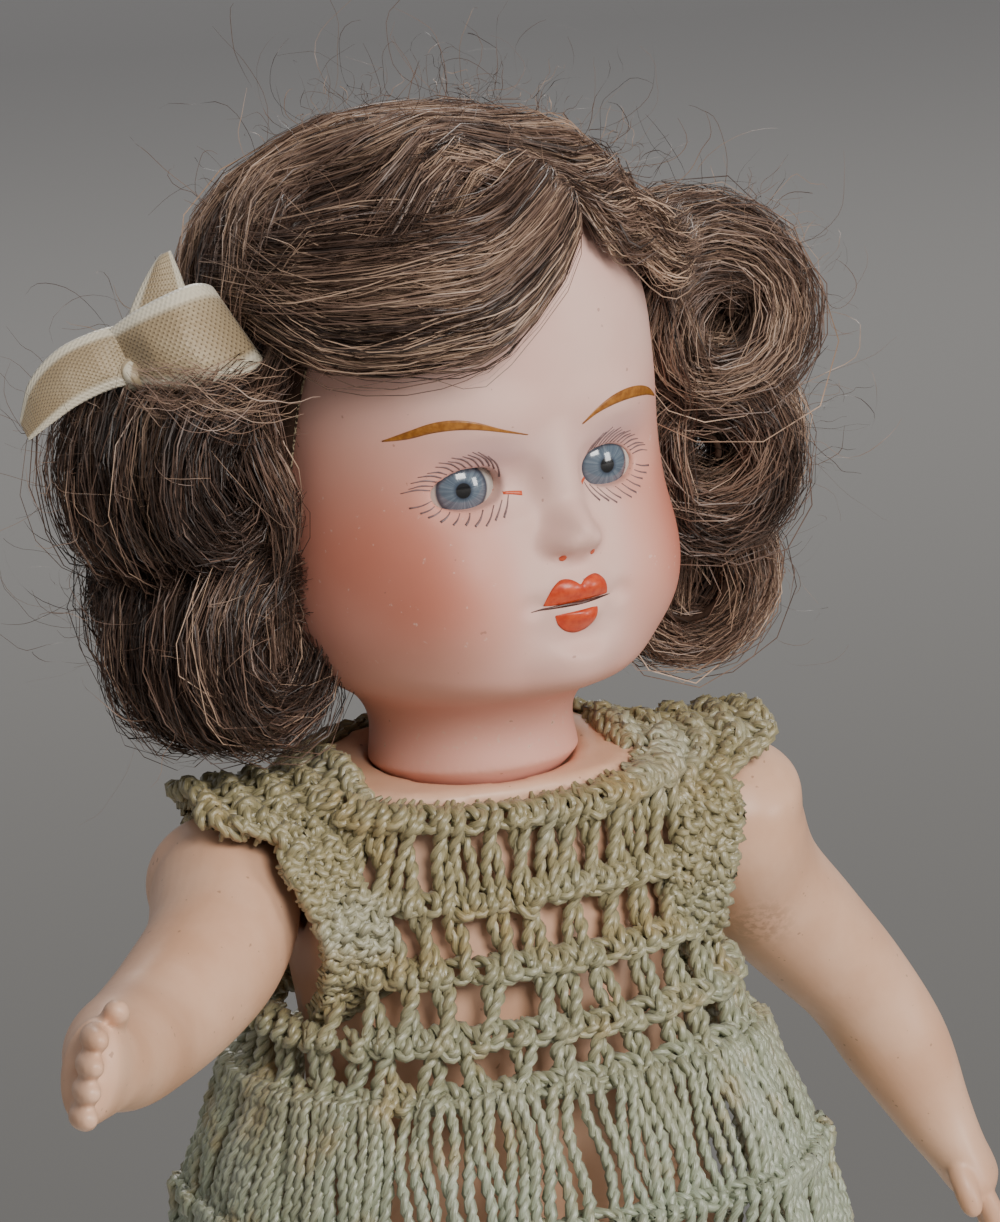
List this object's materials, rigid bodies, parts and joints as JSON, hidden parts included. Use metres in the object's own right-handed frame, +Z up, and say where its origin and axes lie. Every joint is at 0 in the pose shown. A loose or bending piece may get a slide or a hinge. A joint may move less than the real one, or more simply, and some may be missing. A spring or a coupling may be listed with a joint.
{
  "type": "bisque doll",
  "caption": "Small standing doll with a bisque socket head, glass eyes, curled mohair wig with a ribbon bow, strung composition body and a crocheted thread dress.",
  "frame": {"origin": "middle of the whole doll seen from above, on the plane of its soles", "axes": "+Z up, the doll faces -Y and its own left side is +X"},
  "size_m": [0.1074, 0.0828, 0.2027],
  "materials": {
    "bisque": "matte",
    "glass": "gloss",
    "plaster": "matte",
    "card": "matte",
    "wood": "satin",
    "wire": "satin",
    "gauze": "matte",
    "mohair": "satin",
    "ribbon": "satin",
    "composition": "satin",
    "elastic": "matte",
    "thread": "satin"
  },
  "bodies": {
    "torso": {"torso": "composition", "arm_elastic": "elastic", "leg_elastic": "elastic", "dress_bodice": "thread", "dress_skirt": "thread"},
    "head": {"bisque_head": "bisque", "eye_left": "glass", "eye_right": "glass", "eye_plaster_left": "plaster", "eye_plaster_right": "plaster", "crown_pate": "card", "neck_button": "wood", "neck_hook": "wire", "wig_cap": "gauze", "hair_crown": "mohair", "lock_right": "mohair", "lock_left": "mohair", "curl_left_1": "mohair", "curl_left_2": "mohair", "curl_left_3": "mohair", "curl_right_1": "mohair", "curl_right_2": "mohair", "curl_back_1": "mohair", "curl_back_2": "mohair", "curl_back_3": "mohair", "bow_loop_front": "ribbon", "bow_loop_back": "ribbon", "bow_tail_outer": "ribbon", "bow_tail_back": "ribbon", "bow_knot": "ribbon"},
    "arm_left": {"arm_left": "composition", "arm_hook_left": "wire"},
    "arm_right": {"arm_right": "composition", "arm_hook_right": "wire"},
    "leg_left": {"leg_left": "composition", "leg_hook_left": "wire"},
    "leg_right": {"leg_right": "composition", "leg_hook_right": "wire"}
  },
  "joints": [
    {"name": "head_swivel", "type": "hinge", "parent": "torso", "child": "head", "pos_m": [0, 0.00623, 0.142], "axis": [0, 0, 1], "range_deg": [-102, 78], "deforming": ["leg_elastic"]},
    {"name": "shoulder_left", "type": "hinge", "parent": "torso", "child": "arm_left", "pos_m": [0.0186, 0.00623, 0.1315], "axis": [-1, 0, 0], "range_deg": [-32, 110], "deforming": ["arm_elastic"]},
    {"name": "shoulder_right", "type": "hinge", "parent": "torso", "child": "arm_right", "pos_m": [-0.0186, 0.00623, 0.1315], "axis": [-1, 0, 0], "range_deg": [-130, 12], "deforming": ["arm_elastic"]},
    {"name": "hip_left", "type": "hinge", "parent": "torso", "child": "leg_left", "pos_m": [0.0079, 0.00623, 0.082], "axis": [-1, 0, 0], "range_deg": [-15, 90], "deforming": ["leg_elastic", "dress_skirt"]},
    {"name": "hip_right", "type": "hinge", "parent": "torso", "child": "leg_right", "pos_m": [-0.0079, 0.00623, 0.082], "axis": [-1, 0, 0], "range_deg": [-15, 90], "deforming": ["leg_elastic", "dress_skirt"]}
  ]
}
